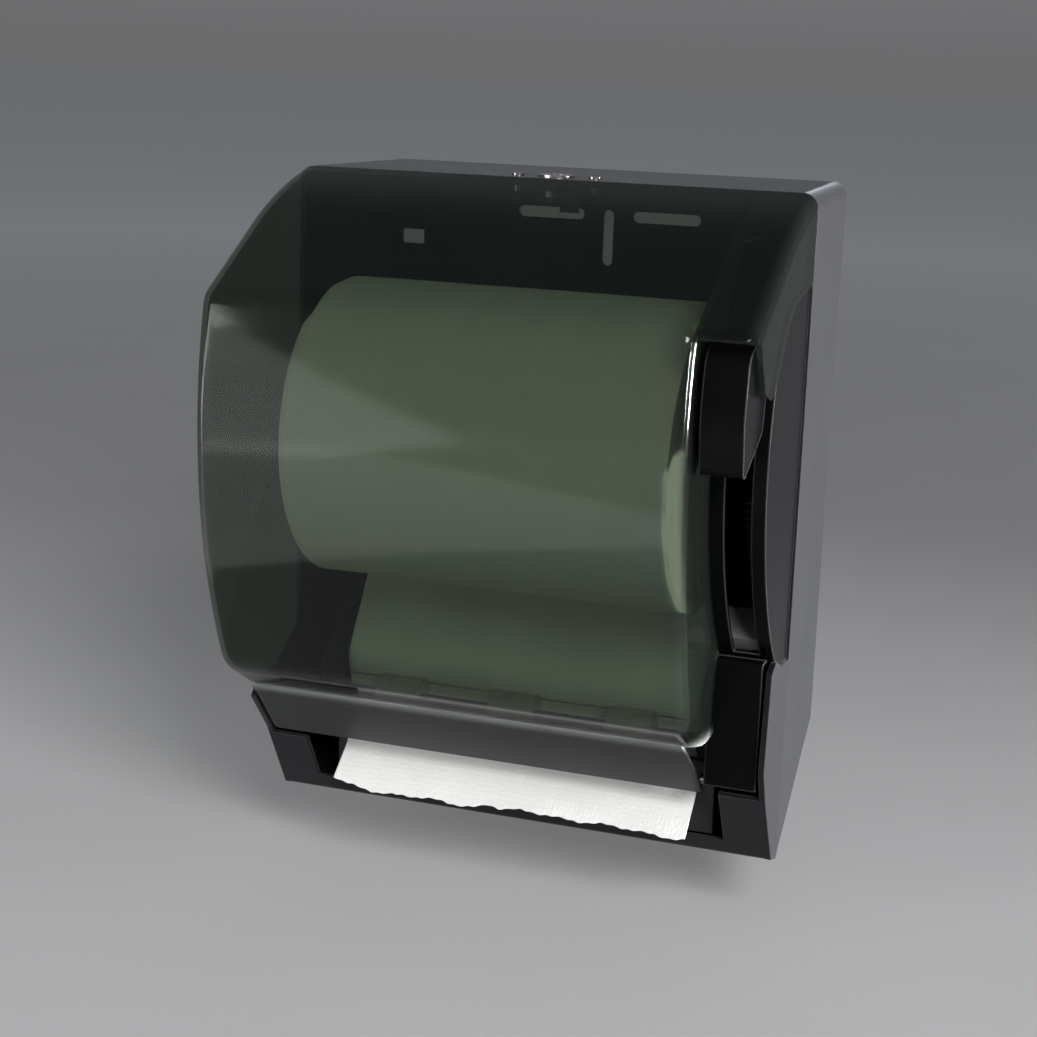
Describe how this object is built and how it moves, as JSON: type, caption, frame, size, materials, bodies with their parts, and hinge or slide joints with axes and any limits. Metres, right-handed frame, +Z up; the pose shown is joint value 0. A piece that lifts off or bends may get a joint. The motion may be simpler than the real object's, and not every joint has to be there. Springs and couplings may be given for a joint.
{
  "type": "lever towel dispenser",
  "caption": "Wall-mounted lever dispenser for a wound paper towel roll, with a smoked bulging cover, a right-hand press lever and a bottom chute.",
  "frame": {"origin": "on the wall plane, at the centre of the four wall slots", "axes": "+X to the right as seen from the front, -Y out of the wall towards the user, +Z up"},
  "size_m": [0.286, 0.2356, 0.3562],
  "materials": {
    "black_plastic": "moulded black, glossy",
    "smoke_cover": "clear moulding tinted smoke black",
    "grey_plastic": "moulded dark grey",
    "steel": "plated steel",
    "dark_steel": "blackened steel",
    "lock_chrome": "bright plated",
    "rubber": "matt grey",
    "towel_paper": "white embossed towel",
    "core_board": "plain board"
  },
  "bodies": {
    "chassis": {"chassis_shell": "black_plastic", "lever_shroud": "black_plastic", "shroud_screws": "steel", "lever_pin": "steel", "lever_spring": "steel", "lever_stop": "rubber", "idler_pin": "steel", "roller_bushes": "grey_plastic", "left_frame": "black_plastic", "frame_screw": "steel", "pinch_blocks": "black_plastic", "pinch_springs": "dark_steel", "tear_bar_rail": "black_plastic", "tear_bar": "steel", "tear_bar_screws": "steel", "chute_guide": "black_plastic", "hinge_pins": "steel", "right_spindle": "steel", "arm_bracket": "steel", "bracket_screws": "steel", "arm_pin": "steel", "towel_web": "towel_paper", "towel_tail": "towel_paper", "lock_body": "lock_chrome", "lock_nut": "dark_steel", "lock_screws": "lock_chrome", "lock_plates": "dark_steel"},
    "cover": {"front_cover": "smoke_cover", "cover_catch": "dark_steel"},
    "lock": {"lock_core": "lock_chrome", "lock_cam": "dark_steel", "cam_screw": "dark_steel"},
    "lever": {"lever": "black_plastic", "sector_gear": "grey_plastic", "sector_screws": "steel"},
    "idler": {"idler_gear": "grey_plastic"},
    "drive": {"drive_shaft": "steel", "drive_core": "grey_plastic", "drive_sleeves": "rubber", "drive_pinion": "grey_plastic", "shaft_clips": "steel"},
    "pinch": {"pinch_shaft": "dark_steel", "pinch_wheels": "grey_plastic"},
    "roll": {"towel_roll": "towel_paper", "roll_core": "core_board", "right_hub": "grey_plastic"},
    "left_arm": {"left_arm": "grey_plastic"},
    "left_hub": {"left_hub": "grey_plastic"}
  },
  "joints": [
    {"name": "cover_hinge", "type": "hinge", "parent": "chassis", "child": "cover", "pos_m": [0, -0.146, -0.164], "axis": [1, 0, 0], "range_deg": [0, 90]},
    {"name": "lock_turn", "type": "hinge", "parent": "chassis", "child": "lock", "pos_m": [0, -0.1, 0.14], "axis": [0, 0, 1], "range_deg": [0, 90]},
    {"name": "lever_press", "type": "hinge", "parent": "chassis", "child": "lever", "pos_m": [0.124, -0.036, 0.01], "axis": [1, 0, 0], "range_deg": [0, 40], "stiffness_Nm_per_rad": 0.6, "springref_deg": -34.38, "deforming": ["lever_spring"]},
    {"name": "idler_spin", "type": "hinge", "parent": "chassis", "child": "idler", "pos_m": [0.121, -0.09433, -0.09743], "axis": [1, 0, 0], "range_deg": [-150, 0]},
    {"name": "drive_spin", "type": "hinge", "parent": "chassis", "child": "drive", "pos_m": [0, -0.11187, -0.12973], "axis": [1, 0, 0], "range_deg": [0, 370]},
    {"name": "pinch_spin", "type": "hinge", "parent": "chassis", "child": "pinch", "pos_m": [0, -0.13794, -0.14478], "axis": [1, 0, 0], "range_deg": [-605, 0]},
    {"name": "roll_spin", "type": "hinge", "parent": "chassis", "child": "roll", "pos_m": [0, -0.143, 0.006], "axis": [1, 0, 0], "continuous": true},
    {"name": "left_arm_swing", "type": "hinge", "parent": "chassis", "child": "left_arm", "pos_m": [-0.1135, -0.012, 0.006], "axis": [0, 0, -1], "range_deg": [0, 8], "stiffness_Nm_per_rad": 1, "springref_deg": -17.19},
    {"name": "left_hub_spin", "type": "hinge", "parent": "left_arm", "child": "left_hub", "pos_m": [-0.103, -0.143, 0.006], "axis": [1, 0, 0], "continuous": true}
  ],
  "couplings": [
    {"joint": "idler_spin", "follows": "lever_press", "ratio": -3.6571},
    {"joint": "drive_spin", "follows": "lever_press", "ratio": 9.1429},
    {"joint": "pinch_spin", "follows": "lever_press", "ratio": -14.961},
    {"joint": "left_hub_spin", "follows": "roll_spin", "ratio": 1}
  ]
}
